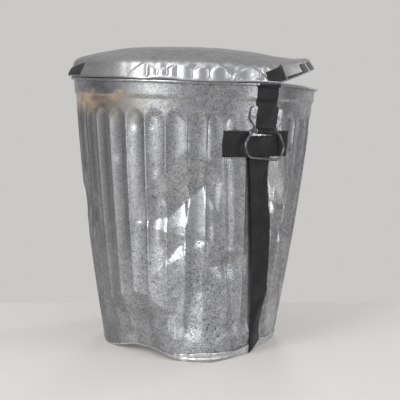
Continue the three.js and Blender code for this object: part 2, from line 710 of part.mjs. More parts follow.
for (const side of ['front', 'back']) {
  const ear = earFrame(side);
  const holes = [rivetDrill(-1), rivetDrill(1)];
  drills.push(...holes.map((hole) => hole.clone().applyMatrix4(ear)));
  const fittings = new THREE.Group();
  fittings.applyMatrix4(ear);
  fittings.add(piece(`ear_${side}`, withHoles(earGeometry(), holes), materials.fittings));
  for (const [place, sign] of [['left', -1], ['right', 1]]) {
    const rivet = piece(`rivet_${side}_${place}`, rivetGeometry(), materials.fittings);
    rivet.position.set(sign * rivetOffset, knuckleRadius, rivetRise);
    rivet.rotation.x = Math.PI;
    fittings.add(rivet);
  }
  const bail = piece(`bail_${side}`, bailGeometry(), materials.bail);
  bail.applyMatrix4(bailFrame(side));
  trashCan.add(fittings, bail);
}

const wall = withHoles(thicken(wallSurface(), sheetThickness), drills);
trashCan.add(
  piece('can_wall', wall, materials.wall),
  piece('rim_wire', rimWire(), materials.fittings),
  piece('can_bottom', thicken(bottomSurface(), sheetThickness), materials.bottom),
  piece('tape_upper', upperStrap(), materials.tape),
  piece('tape_cross', crossStrap(), materials.tape),
  piece('tape_lower', lowerStrap(), materials.tape),
  piece('lid_sheet', bent(thicken(lidSurface(), sheetThickness)), materials.lid),
);
for (const [name, patch] of Object.entries(lidPatches)) {
  trashCan.add(piece(name, lidPatch(patch), materials.tape));
}

export default trashCan;
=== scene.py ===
"""A knocked-about galvanized trash can with its lid, on a pale studio floor.

As in the CAD model, lengths are millimetres until a mesh is made, heights are above the floor, and
azimuths are degrees from the front towards +X. The sheet metal, the tape and the fittings of the
CAD model are drawn again here in the same places, with finer creases, pleats and edges.
"""
from math import cos, pi, radians, sin, tan

import bpy
import numpy as np
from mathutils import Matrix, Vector, geometry


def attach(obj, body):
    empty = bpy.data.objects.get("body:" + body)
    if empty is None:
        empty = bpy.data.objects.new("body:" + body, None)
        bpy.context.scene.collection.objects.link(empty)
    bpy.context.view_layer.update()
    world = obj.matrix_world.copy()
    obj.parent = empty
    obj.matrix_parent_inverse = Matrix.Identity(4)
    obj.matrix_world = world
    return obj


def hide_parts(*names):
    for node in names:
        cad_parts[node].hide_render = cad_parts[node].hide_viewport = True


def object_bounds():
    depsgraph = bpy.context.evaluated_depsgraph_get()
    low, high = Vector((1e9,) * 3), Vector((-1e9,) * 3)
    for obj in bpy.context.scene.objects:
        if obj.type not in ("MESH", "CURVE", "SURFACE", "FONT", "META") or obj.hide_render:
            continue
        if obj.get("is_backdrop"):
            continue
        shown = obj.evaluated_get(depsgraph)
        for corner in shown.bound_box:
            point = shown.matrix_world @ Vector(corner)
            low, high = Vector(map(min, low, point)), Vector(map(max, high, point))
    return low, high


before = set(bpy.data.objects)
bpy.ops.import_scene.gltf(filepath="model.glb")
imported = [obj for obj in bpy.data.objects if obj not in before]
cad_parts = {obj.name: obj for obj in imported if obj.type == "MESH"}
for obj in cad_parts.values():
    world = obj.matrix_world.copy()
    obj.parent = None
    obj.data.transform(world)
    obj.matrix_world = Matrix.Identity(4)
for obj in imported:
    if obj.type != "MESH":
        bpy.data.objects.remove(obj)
cad_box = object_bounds()

# ---------------------------------------------------------------- sizes shared with the CAD model

CLEARANCE = 0.3
SHEET = 0.8
TAPE = 0.5
TAPE_WIDTH = 50
NESTED = SHEET + CLEARANCE  # between the middles of two sheets face to face
ON_TAPED = 1.05  # from a sheet's middle to the middle of the tape on it

# The can as it was made.
CAN_HEIGHT = 533
MOUTH_RADIUS = 248.5
FOOT_RADIUS = 211
HEM_HEIGHT = 18
BAND_TOP = HEM_HEIGHT + CLEARANCE
BOTTOM_RECESS = 15
RIM_WIRE_RADIUS = 2
ROLL_RADIUS = 2.9
ROLL_HEIGHT = CAN_HEIGHT - ROLL_RADIUS - SHEET / 2
UNDER_ROLL = 524  # the wall's highest row of points under the roll

FLUTE_COUNT = 36
FIRST_RIDGE = 7.5
FLUTE_DEPTH = 6
FLUTE_FOOT = 36
FLUTE_FADE = 30  # the height over which the flutes begin
FLUTE_TOP = 479
FLUTE_ARCH = 14
SWAGE_TOP = 503
SWAGE_HEIGHT = 6
SWAGE_STEP = 2.5

# How all of the can was crushed.
FOOT_SQUEEZE = 0.16  # a share of the foot's width
FOOT_LEAN = 12
MOUTH_SLOPE = 0.034
RIGHT_DROOP = 8
DROOP_START = 175  # from the middle of the mouth
KICKED_LIFT = 12  # a kicked stretch of the foot is raised off the floor
KICKED_LIFT_REACH = 45
KICKED_AZIMUTH = -33  # its middle
KICKED_FULL = 12  # degrees to each side that are raised in full
KICKED_END = 30  # and beyond which nothing is

EAR_AZIMUTHS = {"front": 35, "back": 215}
EAR_CANTS = {"front": 4, "back": 0}
EAR_THICKNESS = 1.5
EAR_HEIGHT = 47
EAR_SEAT = 1.45
EAR_FLAT_FROM = (405, 425)  # heights between which the flutes run out behind the ears
EAR_FLAT_ASIDE = (8, 12)  # degrees to each side between which they come back
BAIL_HEIGHT = 438
KNUCKLE_RADIUS = 3.75
KNUCKLE_HALF_LENGTH = 25
RIVET_OFFSET = 32
RIVET_RISE = 30
BAIL_WIRE_RADIUS = 2.4

LID_SEAT = 0.7
LID_SHIFT = 3
SKIRT_HEIGHT = 28
FLAP_START = 166
FLAP_ANGLE = 21
FLAP_FLATTENING = 0.25
FOLD_REACH = 60

COLUMNS = FLUTE_COUNT * 18  # of points round the can
SHARES = np.linspace(-1, 1, 25)  # across an ear or a strip, from its left edge to its right
MM_PER_DEGREE = 4.1  # round the wall, about


def ramp(value, start, end):
    return np.clip((value - start) / (end - start), 0, 1)


def smooth(value, start, end):
    share = ramp(value, start, end)
    return share * share * (3 - 2 * share)


def turn_between(azimuth, other):
    return (azimuth - other + 180) % 360 - 180


def stack(x, y, z):
    return np.stack(np.broadcast_arrays(x, y, z), axis=-1)


def swell(points, length, seed):
    """A gentle random swell over points, between about -1 and 1, with waves about this long."""
    random = np.random.default_rng(seed)
    total = np.zeros(points.shape[:-1])
    for _ in range(9):
        direction = random.normal(size=3)
        direction *= 2 * pi / (length * random.uniform(0.7, 1.5) * np.linalg.norm(direction))
        total += np.sin(points @ direction + random.uniform(0, 2 * pi))
    return total / 4


# ---------------------------------------------------------------- knocks and creases in the wall

# Each net is a patch of flat facets in the wall: points of azimuth, height and depth inwards, and
# the creases between them. The wall is left as it was along a net's outline.
NETS = {
    "front fold": (
        {
            "left": (-26, 309, 0), "valley left": (-12.6, 272, 11), "valley": (-3.2, 300, 17),
            "valley right": (6, 332, 14), "right": (15, 344, 0), "top left": (-18, 345, 0),
            "top": (-12, 385, 0), "crown": (-2.5, 403, 0), "top right": (7, 388, 0),
            "lip left": (-12.4, 255, 7), "lip": (-2.2, 256, 8), "step": (-0.9, 312, 11),
            "step low": (-0.5, 236, 6), "lip right": (8, 237, 0), "low left": (-20, 165, 0),
            "low": (-5, 150, 0), "low right": (9, 228, 0), "side": (14, 285, 0),
            "far left": (-30, 262, 0),
        },
        [
            ("left", "valley left"), ("valley left", "valley"), ("valley right", "right"),
            ("lip left", "lip"), ("valley left", "lip left"), ("valley", "lip"),
            ("valley", "step"), ("step", "step low"), ("step low", "lip right"),
            ("step", "valley right"), ("lip right", "side"), ("valley", "crown"),
            ("lip", "step low"),
        ],
    ),
    "by the strap": (
        {
            "top left": (40, 396, 0), "top": (50, 400, 0), "valley top": (42.5, 380, 8),
            "valley": (43.5, 338, 12), "valley low": (45, 300, 8), "ridge top": (50.3, 392, -1),
            "ridge": (52.6, 348, -3), "ridge low": (54, 305, -2), "left": (33, 340, 0),
            "low left": (38, 272, 0), "low": (48, 258, 0), "right": (63, 345, 0),
            "top right": (58, 392, 0), "low right": (61, 285, 0),
        },
        [
            ("valley top", "valley"), ("valley", "valley low"), ("ridge top", "ridge"),
            ("ridge", "ridge low"), ("valley top", "ridge top"), ("valley low", "ridge low"),
        ],
    ),
    "low in front": (
        {
            "left": (9, 180, 0), "valley left": (17, 181, 6), "valley": (22, 184, 9),
            "right": (32, 192, 0), "top": (19, 208, 0), "top right": (27, 206, 0),
            "tip": (26, 147, 1), "low left": (17, 152, 0), "low": (22, 126, 0),
            "side": (33, 160, 0),
        },
        [
            ("left", "valley left"), ("valley left", "valley"), ("valley", "right"),
            ("valley", "tip"),
        ],
    ),
    "crease on the right": (
        {
            "left": (43, 243, 0), "valley left": (50, 240, 4), "valley": (58, 234, 6),
            "right": (70, 228, 0), "top": (54, 258, 0), "low": (54, 212, 0),
        },
        [("left", "valley left"), ("valley left", "valley"), ("valley", "right")],
    ),
    "low right": (
        {
            "top": (50, 118, 0), "valley top": (53, 92, 9), "valley": (57, 52, 18),
            "valley low": (58, 0, 12), "left": (42, 60, 0), "low left": (44, 0, 0),
            "right": (84, 66, 0), "low right": (84, 0, 0), "top right": (70, 104, 0),
        },
        [("valley top", "valley"), ("valley", "valley low"), ("top", "valley top")],
    ),
    "kicked foot": (
        {
            "low left": (-68, 0, 0), "left": (-68, 36, 0), "top left": (-60, 94, 0),
            "top": (-33, 128, 0), "top right": (-8, 90, 0), "right": (-8, 36, 0),
            "low right": (-8, 0, 0),
            "valley left": (-40, 20, 31), "low valley left": (-40, 0, 31), "valley": (-29, 20, 30),
            "low valley": (-29, 0, 30), "ridge left": (-40, 66, 22), "ridge": (-28, 66, 24),
        },
        [
            ("valley left", "ridge left"), ("ridge left", "top"), ("valley", "ridge"),
            ("ridge", "top"), ("valley", "low valley"), ("valley left", "low valley left"),
        ],
    ),
    "pushed out foot": (
        {
            "low left": (-5, 0, 0), "left": (-4, 50, 0), "top left": (2, 120, 0),
            "top": (14, 172, 0), "top right": (27, 120, 0), "right": (31, 50, 0),
            "low right": (31, 0, 0),
            "low keel": (13, 0, -14.5), "keel": (13, 20, -14.5), "keel top": (15, 75, -10),
        },
        [("low keel", "keel"), ("keel", "keel top"), ("keel top", "top")],
    ),
    "under the rim": (
        {
            "left": (1, 521, 0), "low left": (4, 488, 0), "low": (12, 484, 0),
            "right": (24, 500, 0), "top right": (22, 522, 0), "top": (8, 523, 0),
            "valley top": (8.2, 517, 4.5), "valley low": (10.4, 500, 5),
        },
        [("valley top", "valley low"), ("valley low", "low"), ("top", "valley top")],
    ),
    "left wall": (
        {
            "top": (-70, 360, 0), "low": (-74, 205, 0), "left": (-92, 290, 0),
            "right": (-54, 280, 0), "valley top": (-72, 318, 7), "valley low": (-70, 268, 9),
        },
        [("valley top", "valley low"), ("valley top", "top"), ("valley low", "low")],
    ),
    "behind on the left": (
        {
            "top": (-143, 250, 0), "low": (-139, 95, 0), "left": (-158, 170, 0),
            "right": (-122, 175, 0), "valley top": (-144, 200, 7), "valley low": (-137, 150, 8),
        },
        [("valley top", "valley low")],
    ),
    "behind": (
        {
            "top": (168, 400, 0), "low": (172, 300, 0), "left": (150, 345, 0),
            "right": (190, 352, 0), "valley left": (163, 350, 6), "valley right": (178, 346, 7),
        },
        [("valley left", "valley right")],
    ),
}


def net_depth(azimuth, z, net):
    """Depth of one net at each azimuth and height, even across each facet."""
    places, creases = net
    names = list(places)
    middle = np.mean([place[0] for place in places.values()])
    flat = [Vector(places[name][:2]) for name in names]
    edges = [(names.index(start), names.index(end)) for start, end in creases]
    _, _, facets, origins, _, _ = geometry.delaunay_2d_cdt(flat, edges, [], 0, 1e-5)
    turned = middle + turn_between(azimuth, middle)
    depth = np.zeros(np.broadcast(azimuth, z).shape)
    for facet in facets:
        a, b, c = (np.array(places[names[origins[corner][0]]], float) for corner in facet)
        area = (b[0] - a[0]) * (c[1] - a[1]) - (c[0] - a[0]) * (b[1] - a[1])
        if abs(area) < 1e-6:
            continue
        to_b = ((turned - a[0]) * (c[1] - a[1]) - (c[0] - a[0]) * (z - a[1])) / area
        to_c = ((b[0] - a[0]) * (z - a[1]) - (turned - a[0]) * (b[1] - a[1])) / area
        inside = (to_b >= 0) & (to_c >= 0) & (to_b + to_c <= 1)
        depth = np.where(inside, a[2] + to_b * (b[2] - a[2]) + to_c * (c[2] - a[2]), depth)
    return depth


def small_dents():
    """Azimuth, height, reach and depth of the many small knocks of years of use."""
    random = np.random.default_rng(12)
    for _ in range(70):
        reach = random.uniform(9, 26)
        height = random.uniform(60, 470)
        azimuth = random.uniform(0, 360)
        yield azimuth, height, reach, reach * random.uniform(0.02, 0.05 + height / 9000)


SMALL_DENTS = list(small_dents())


def knocked_in(azimuth, z):
    """How far the wall has been knocked in. The stiff foot band moves in one."""
    level = np.maximum(z, BAND_TOP)
    depth = sum(net_depth(azimuth, level, net) for net in NETS.values())
    for centre, height, reach, deep in SMALL_DENTS:
        aside = turn_between(azimuth, centre) * MM_PER_DEGREE
        distance = np.hypot(aside, level - height) / reach
        depth = depth + deep * np.maximum(0, 1 - distance**2) ** 2
    return depth


def kicked_up(azimuth, z):
    """How far the kicked stretch of the foot is raised."""
    aside = np.abs(turn_between(azimuth, KICKED_AZIMUTH))
    raised = 1 - ramp(aside, KICKED_FULL, KICKED_END)
    return KICKED_LIFT * raised * (1 - ramp(z, BAND_TOP, BAND_TOP + KICKED_LIFT_REACH))


# ---------------------------------------------------------------- the crushed can


def wall_radius(z):
    """Radius of the wall as made, at the ridges between its flutes."""
    straight = FOOT_RADIUS + (MOUTH_RADIUS - SWAGE_STEP - FOOT_RADIUS) * z / CAN_HEIGHT
    return straight + SWAGE_STEP * ramp(z, SWAGE_TOP - SWAGE_HEIGHT, SWAGE_TOP)


def mouth_rise(x):
    """The mouth slopes down to the right, and droops at the right edge."""
    return -MOUTH_SLOPE * x - RIGHT_DROOP * ramp(x, DROOP_START, MOUTH_RADIUS) ** 1.5


def crushed(azimuth, radius, z, depth=0):
    """Where a point of the can as made has gone, knocked in by this depth."""
    down = 1 - z / CAN_HEIGHT
    squeeze = FOOT_SQUEEZE * down * down
    angle = np.radians(azimuth)
    share = np.minimum(1, (radius / (wall_radius(z) - 2 * NESTED)) ** 4)
    knocked = radius - depth * share
    x = knocked * np.sin(angle) * (1 - squeeze) - FOOT_LEAN * down
    y = -knocked * np.cos(angle) * (1 + squeeze)
    high = np.clip(z / CAN_HEIGHT, 0, 1) ** 2
    return stack(x, y, z + kicked_up(azimuth, z) * share + mouth_rise(x) * high)


def wall_normal(azimuth, z):
    """Out of the wall at its ridges, as if there were no knocks."""
    def ridge(turn, climb):
        return crushed(azimuth + turn, wall_radius(z + climb), z + climb)

    out = np.cross(ridge(0.5, 0) - ridge(-0.5, 0), ridge(0, 2) - ridge(0, -2))
    return out / np.linalg.norm(out, axis=-1, keepdims=True)


def off_wall(azimuth, z, distance, depth=0):
    distance = np.asarray(distance)[..., None]
    return crushed(azimuth, wall_radius(z), z, depth) + wall_normal(azimuth, z) * distance


def lean(azimuth, z):
    """Degrees that the flutes are out of place at a height: in front they lean left."""
    leaning = ramp(azimuth, 0, 16) * (1 - ramp(azimuth, 32, 60))
    climb = np.clip(z, FLUTE_FOOT, FLUTE_TOP) - 150
    return leaning * (2.3 - 0.0185 * climb)


def flute_share(azimuth, z):
    """How much of their depth the flutes keep: they run out at both ends and behind the ears."""
    turn = ((azimuth - FIRST_RIDGE) * FLUTE_COUNT / 360) % 1
    channel = np.sin(pi * turn)
    top = FLUTE_TOP - FLUTE_ARCH * (1 - channel)
    kept = smooth(z, FLUTE_FOOT, FLUTE_FOOT + FLUTE_FADE) * smooth(-z, -top, -top + FLUTE_ARCH)
    for ear in EAR_AZIMUTHS.values():
        aside = smooth(np.abs(turn_between(azimuth, ear)), *EAR_FLAT_ASIDE)
        kept = kept * np.maximum(aside, 1 - smooth(z, *EAR_FLAT_FROM))
    return kept * channel**0.7


# Where knocks have pressed the flutes flatter: azimuth and height of the middle, half width, half
# height, and the share of the flutes' depth that is left.
FLATTER = [
    (-7.5, 264, 9, 44, 0.35), (3.5, 280, 8, 58, 0.4), (-6, 112, 44, 132, 0.5),
    (48, 345, 9, 75, 0.3), (64, 60, 22, 80, 0.2),
]


def flattened(azimuth, z):
    """The share of the flutes' depth that the knocks have left."""
    share = 1
    for middle, height, half_width, half_height, left in FLATTER:
        aside = np.abs(turn_between(azimuth, middle)) / half_width
        distance = np.maximum(aside, np.abs(z - height) / half_height)
        share = share * (left + (1 - left) * smooth(distance, 0.5, 1.1))
    return share


def all_round(columns=COLUMNS):
    """Azimuths round the can, from the first ridge on."""
    return FIRST_RIDGE + np.arange(columns) * 360 / columns


def wall_ring(z, radius=None, columns=COLUMNS):
    """Points round the wall at this height, flutes and knocks and all, or at another radius."""
    azimuth = all_round(columns)
    leaning = azimuth + lean(azimuth, z)
    inset = FLUTE_DEPTH * flute_share(azimuth, z) * flattened(leaning, z)
    radius = wall_radius(z) if radius is None else radius
    return crushed(leaning, radius - inset, z, knocked_in(leaning, z))


# ---------------------------------------------------------------- making meshes


def mesh_piece(name, rows, body, material, closed=False, centre=None, caps=False):
    """A smooth quad mesh through rows of points, which replaces the CAD node of its name."""
    rows = np.asarray(rows, float)
    count, columns = rows.shape[:2]
    points = list(rows.reshape(-1, 3) / 1000)
    steps = columns if closed else columns - 1
    row, column = np.meshgrid(np.arange(count - 1), np.arange(steps), indexing="ij")
    start = row * columns
    here = start + column
    beside = start + (column + 1) % columns
    corners = np.stack([here, beside, beside + columns, here + columns], axis=-1)
    faces = corners.reshape(-1, 4).tolist()
    last = (count - 1) * columns
    if centre is not None:
        points.append(np.asarray(centre) / 1000)
        faces += [(last + i, last + (i + 1) % columns, last + columns) for i in range(columns)]
    if caps:
        faces.append(list(range(columns))[::-1])
        faces.append(list(range(last, last + columns)))
    mesh = bpy.data.meshes.new(name)
    mesh.from_pydata([tuple(point) for point in points], [], faces)
    mesh.polygons.foreach_set("use_smooth", [True] * len(mesh.polygons))
    mesh.materials.append(material)
    thing = bpy.data.objects.new(name + ".look", mesh)
    bpy.context.scene.collection.objects.link(thing)
    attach(thing, body)
    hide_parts(name)
    return thing


def thickened(thing, thickness):
    """Gives a sheet its thickness, half of it to each side."""
    solid = thing.modifiers.new("thickness", "SOLIDIFY")
    solid.thickness = thickness / 1000
    solid.offset = 0
    return thing


# ---------------------------------------------------------------- materials


def add_node(tree, kind, inputs=None, **settings):
    """A new shader node, with each of its inputs linked to a socket or set to a value."""
    node = tree.nodes.new("ShaderNode" + kind)
    for name, value in settings.items():
        setattr(node, name, value)
    for socket, value in (inputs or {}).items():
        if isinstance(value, bpy.types.NodeSocket):
            tree.links.new(value, node.inputs[socket])
        else:
            node.inputs[socket].default_value = value
    return node


def object_coords(tree, stretch=(1, 1, 1)):
    coords = add_node(tree, "TexCoord").outputs["Object"]
    mapping = add_node(tree, "Mapping", {"Vector": coords, "Scale": stretch})
    return mapping.outputs["Vector"]


def place_in(tree):
    """The X, Y and Z of each point, in metres."""
    coords = add_node(tree, "TexCoord").outputs["Object"]
    return add_node(tree, "SeparateXYZ", {0: coords}).outputs


def noise(tree, scale, detail=3, stretch=(1, 1, 1), roughness=0.5):
    inputs = {"Scale": scale, "Detail": detail, "Roughness": roughness}
    inputs["Vector"] = object_coords(tree, stretch)
    return add_node(tree, "TexNoise", inputs).outputs["Fac"]


def fitted(tree, value, low, high, to_low=0.0, to_high=1.0):
    """A value from low to high, smoothly moved to to_low to to_high."""
    inputs = {0: value, 1: low, 2: high, 3: to_low, 4: to_high}
    node = add_node(tree, "MapRange", inputs, interpolation_type="SMOOTHSTEP")
    return node.outputs[0]


def maths(tree, operation, first, second):
    return add_node(tree, "Math", {0: first, 1: second}, operation=operation).outputs[0]


def times(tree, first, second):
    return maths(tree, "MULTIPLY", first, second)


def mixed(tree, share, first, second):
    """The first colour, with a share of the second."""
    node = add_node(tree, "Mix", {0: share}, data_type="RGBA")
    for index, colour in ((6, first), (7, second)):
        if isinstance(colour, bpy.types.NodeSocket):
            tree.links.new(colour, node.inputs[index])
        else:
            node.inputs[index].default_value = (*colour, 1)
    return node.outputs[2]


def new_material(name, **settings):
    material = bpy.data.materials.new(name)
    material.use_nodes = True
    tree = material.node_tree
    shader = tree.nodes["Principled BSDF"]
    for socket, value in settings.items():
        shader.inputs[socket.replace("_", " ")].default_value = value
    return material, tree, shader


def bumped(tree, shader, height, strength, distance, under=None):
    inputs = {"Height": height, "Strength": strength, "Distance": distance}
    if under is not None:
        inputs["Normal"] = under
    normal = add_node(tree, "Bump", inputs).outputs["Normal"]
    tree.links.new(normal, shader.inputs["Normal"])
    return normal


def zinc(name, pale, dark, speck, specks, roughness, mottle=0.0, marks_and_painted_light=None):
    """Galvanized steel: faint spangle, dark pepper specks all over, and where given, stains and
    painted light and shade.
    """
    material, tree, shader = new_material(name, Metallic=0.85)
    crystals = add_node(tree, "TexVoronoi", {"Vector": object_coords(tree), "Scale": 130})
    crystal = add_node(tree, "SeparateColor", {0: crystals.outputs["Color"]}).outputs[0]
    cloud = noise(tree, 19, 5, roughness=0.6)
    spangle = maths(tree, "ADD", times(tree, crystal, 0.3), cloud)
    colour = mixed(tree, fitted(tree, spangle, 0.35, 0.95), dark, pale)
    dull = fitted(tree, spangle, 0.35, 0.95, roughness + 0.08, roughness - 0.05)
    where = fitted(tree, noise(tree, 14, 3), 0.33, 0.62, 0.5, specks)
    pepper = fitted(tree, noise(tree, 460, 2, roughness=0.7), 0.5, 0.6)
    spots = fitted(tree, noise(tree, 210, 2, roughness=0.6), 0.6, 0.66)
    dots = maths(tree, "MAXIMUM", times(tree, pepper, 0.8), spots)
    colour = mixed(tree, times(tree, dots, where), colour, speck)
    grain = fitted(tree, noise(tree, 560, 2, roughness=0.8), 0.38, 0.62, 0, mottle)
    colour = mixed(tree, grain, colour, tuple(0.4 * part for part in dark))
    streaks = fitted(tree, noise(tree, 60, 3, stretch=(1, 1, 0.1)), 0.5, 0.75, 0, 0.35)
    colour = mixed(tree, streaks, colour, tuple(0.55 * part for part in dark))
    if marks_and_painted_light:
        colour, dull = marks_and_painted_light(tree, colour, dull)
    tree.links.new(colour, shader.inputs["Base Color"])
    rough = maths(tree, "ADD", dull, times(tree, dots, 0.12))
    tree.links.new(rough, shader.inputs["Roughness"])
    dimples = bumped(tree, shader, noise(tree, 38, 2), 0.2, 0.002)
    bumped(tree, shader, noise(tree, 330, 3), 0.3, 0.0006, dimples)
    return material


def patch(tree, x, z, half_width, half_height, ragged, soft):
    """A ragged oval patch on the front of the can, about a place in metres."""
    place = place_in(tree)
    cloud = maths(tree, "SUBTRACT", noise(tree, 26, 5, roughness=0.65), 0.5)
    shift = times(tree, cloud, ragged)
    distance = 0.0
    for name, middle, half in (("X", x, half_width), ("Z", z, half_height)):
        along = maths(tree, "SUBTRACT", maths(tree, "ADD", place[name], shift), middle)
        squared = maths(tree, "POWER", maths(tree, "DIVIDE", along, half), 2)
        distance = maths(tree, "ADD", distance, squared)
    in_front = fitted(tree, place["Y"], -0.02, -0.05)
    return times(tree, in_front, fitted(tree, distance, 1 + soft, 1 - soft))


# Centre, half width and half height of the two painted highlights on knocked facets, in metres.
PAINTED_GLINTS = [(0.157, 0.345, 0.0165, 0.056), (0.156, 0.052, 0.0125, 0.044)]


def wall_stain_and_painted_light(tree, colour, dull):
    """The stain under the rim, painted shade on the left side, and painted highlights on two
    knocked facets.
    """
    place = place_in(tree)
    # Painted shade: the left side of the can is painted darker grey.
    painted_shade_left = fitted(tree, place["X"], -0.125, -0.16, 0, 0.5)
    colour = mixed(tree, painted_shade_left, colour, (0.2, 0.2, 0.2))
    broken = fitted(tree, noise(tree, 60, 5, stretch=(0.6, 0.6, 1)), 0.36, 0.62, 0.15, 0.85)
    # Each patch's middle, half width and half height in metres, then how ragged and soft it is.
    rusty = times(tree, patch(tree, -0.19, 0.5, 0.058, 0.015, 0.06, 0.75), broken)
    beige = times(tree, patch(tree, -0.17, 0.492, 0.08, 0.027, 0.1, 0.8), 0.4)
    grey = times(tree, patch(tree, -0.185, 0.52, 0.045, 0.008, 0.05, 0.8), 0.6)
    colour = mixed(tree, beige, colour, (0.36, 0.32, 0.25))
    colour = mixed(tree, grey, colour, (0.17, 0.19, 0.23))
    colour = mixed(tree, rusty, colour, (0.64, 0.47, 0.32))
    # Painted highlights: two knocked facets are painted paler, and made a little shinier as well.
    painted_glint_and_shine = 0.0
    for oval in PAINTED_GLINTS:
        painted_glint_and_shine = maths(tree, "MAXIMUM", patch(tree, *oval, 0.04, 0.7), painted_glint_and_shine)
    colour = mixed(tree, times(tree, painted_glint_and_shine, 0.3), colour, (0.86, 0.87, 0.88))
    duller_low_down = fitted(tree, place["Z"], 0.26, 0.13, 0, 0.17)
    dull = maths(tree, "ADD", dull, duller_low_down)
    return colour, maths(tree, "SUBTRACT", dull, times(tree, painted_glint_and_shine, 0.08))


def lid_shine_and_painted_sheen(tree, colour, dull):
    """The skirt is shinier than the dull dome, and except at its left end it is painted paler: a
    painted highlight.
    """
    place = place_in(tree)
    sloped = times(tree, place["X"], MOUTH_SLOPE)
    height = maths(tree, "ADD", place["Z"], sloped)
    skirt = fitted(tree, height, 0.5665, 0.5595)
    shiny_and_painted_sheen = times(tree, skirt, fitted(tree, place["X"], -0.13, -0.1))
    # Painted highlight: the skirt is painted paler, except at its left end.
    colour = mixed(tree, times(tree, shiny_and_painted_sheen, 0.5), colour, (0.5, 0.51, 0.53))
    return colour, maths(tree, "SUBTRACT", dull, times(tree, shiny_and_painted_sheen, 0.12))


def cloth_tape():
    """Matt black, a little worn, with a fine weave and long wrinkles."""
    material, tree, shader = new_material("black_cloth_tape", Specular_IOR_Level=0.35)
    worn = fitted(tree, noise(tree, 40, 4), 0.35, 0.75)
    colour = mixed(tree, worn, (0.005, 0.005, 0.006), (0.014, 0.014, 0.015))
    tree.links.new(colour, shader.inputs["Base Color"])
    dull = fitted(tree, noise(tree, 25, 3), 0.3, 0.7, 0.5, 0.7)
    tree.links.new(dull, shader.inputs["Roughness"])
    warp = noise(tree, 900, 1, stretch=(1, 1, 0.35))
    weft = noise(tree, 900, 1, stretch=(0.35, 0.35, 1))
    threads = bumped(tree, shader, maths(tree, "ADD", warp, weft), 0.25, 0.0005)
    bumped(tree, shader, noise(tree, 70, 3, stretch=(1, 1, 0.3)), 0.35, 0.002, threads)
    return material


def bail_steel():
    """Dark wire with patches of brighter metal."""
    material, tree, shader = new_material("bail_steel", Metallic=0.9)
    patches = fitted(tree, noise(tree, 90, 4), 0.3, 0.7)
    colour = mixed(tree, patches, (0.07, 0.07, 0.073), (0.19, 0.19, 0.195))
    tree.links.new(colour, shader.inputs["Base Color"])
    tree.links.new(fitted(tree, patches, 0, 1, 0.5, 0.32), shader.inputs["Roughness"])
    bumped(tree, shader, noise(tree, 400, 3), 0.2, 0.0005)
    return material


WALL = zinc(
    "zinc_wall", pale=(0.58, 0.59, 0.6), dark=(0.34, 0.35, 0.36), speck=(0.05, 0.05, 0.055),
    specks=0.85, roughness=0.33, mottle=0.5, marks_and_painted_light=wall_stain_and_painted_light,
)
LID = zinc(
    "zinc_lid", pale=(0.32, 0.32, 0.32), dark=(0.25, 0.25, 0.255), speck=(0.08, 0.08, 0.085),
    specks=0.3, roughness=0.48, mottle=0.1, marks_and_painted_light=lid_shine_and_painted_sheen,
)
BOTTOM = zinc(
    "zinc_bottom", pale=(0.76, 0.77, 0.78), dark=(0.52, 0.53, 0.54), speck=(0.08, 0.08, 0.085),
    specks=0.4, roughness=0.32,
)
FITTINGS = zinc(
    "zinc_fittings", pale=(0.50, 0.51, 0.52), dark=(0.34, 0.35, 0.36), speck=(0.08, 0.08, 0.085),
    specks=0.6, roughness=0.36,
)
BAIL = bail_steel()
BLACK_TAPE = cloth_tape()

# ---------------------------------------------------------------- can pieces


def make_wall():
    bounds = [NESTED, BAND_TOP, FLUTE_TOP, SWAGE_TOP - SWAGE_HEIGHT, SWAGE_TOP, UNDER_ROLL]
    heights = [NESTED]
    for low, high, count in zip(bounds, bounds[1:], (6, 170, 10, 6, 8)):
        heights.extend(np.linspace(low, high, count)[1:])
    rows = [wall_ring(z) for z in heights]
    for angle in np.radians(np.linspace(180, -110, 15)):
        radius = MOUTH_RADIUS + ROLL_RADIUS * (1 + cos(angle))
        rows.append(wall_ring(ROLL_HEIGHT + ROLL_RADIUS * sin(angle), radius))
    return thickened(mesh_piece("can_wall", rows, "can", WALL, closed=True), SHEET)


def make_rim_wire():
    rows = []
    for angle in np.radians(np.linspace(0, 360, 13)):
        radius = MOUTH_RADIUS + ROLL_RADIUS + RIM_WIRE_RADIUS * cos(angle)
        height = ROLL_HEIGHT + RIM_WIRE_RADIUS * sin(angle)
        rows.append(wall_ring(height, radius, COLUMNS // 3))
    return mesh_piece("rim_wire", rows, "can", FITTINGS, closed=True)


def make_bottom():
    """The bottom sheet, folded round the wall's foot. The outside of its hem is crumpled."""
    fold = SHEET / 2  # height of the sheet's middle where it lies on the floor
    fold_rise = 0.6
    azimuth = all_round()
    top = np.interp(azimuth, HEM_TOPS[:, 0], HEM_TOPS[:, 1])
    rows = []
    # Down the outside of the hem, round the fold, up inside the wall, and in over the bottom.
    for share in np.linspace(1, 0, 13):
        z = fold + 1 + (top - fold - 1) * share
        rows.append(wall_ring(z, wall_radius(z) + NESTED + hem_crumple(azimuth, z)))
    for angle in np.radians(np.linspace(0, 180, 7)):
        z = fold + fold_rise - fold_rise * sin(angle)
        rows.append(wall_ring(z, wall_radius(fold) + NESTED * cos(angle)))
    for z in np.linspace(fold + 2, BOTTOM_RECESS - 1.5, 5):
        rows.append(wall_ring(z, wall_radius(z) - NESTED))
    edge = wall_radius(BOTTOM_RECESS) - NESTED
    rows.append(wall_ring(BOTTOM_RECESS - 0.4, edge - 0.5))
    for share in (0.985, 0.95, 0.9, 0.8, 0.65, 0.5, 0.35, 0.2, 0.1):
        rows.append(wall_ring(BOTTOM_RECESS, edge * share))
    centre = crushed(0, 0, BOTTOM_RECESS)
    piece = mesh_piece("can_bottom", rows, "can", BOTTOM, closed=True, centre=centre)
    return thickened(piece, SHEET)


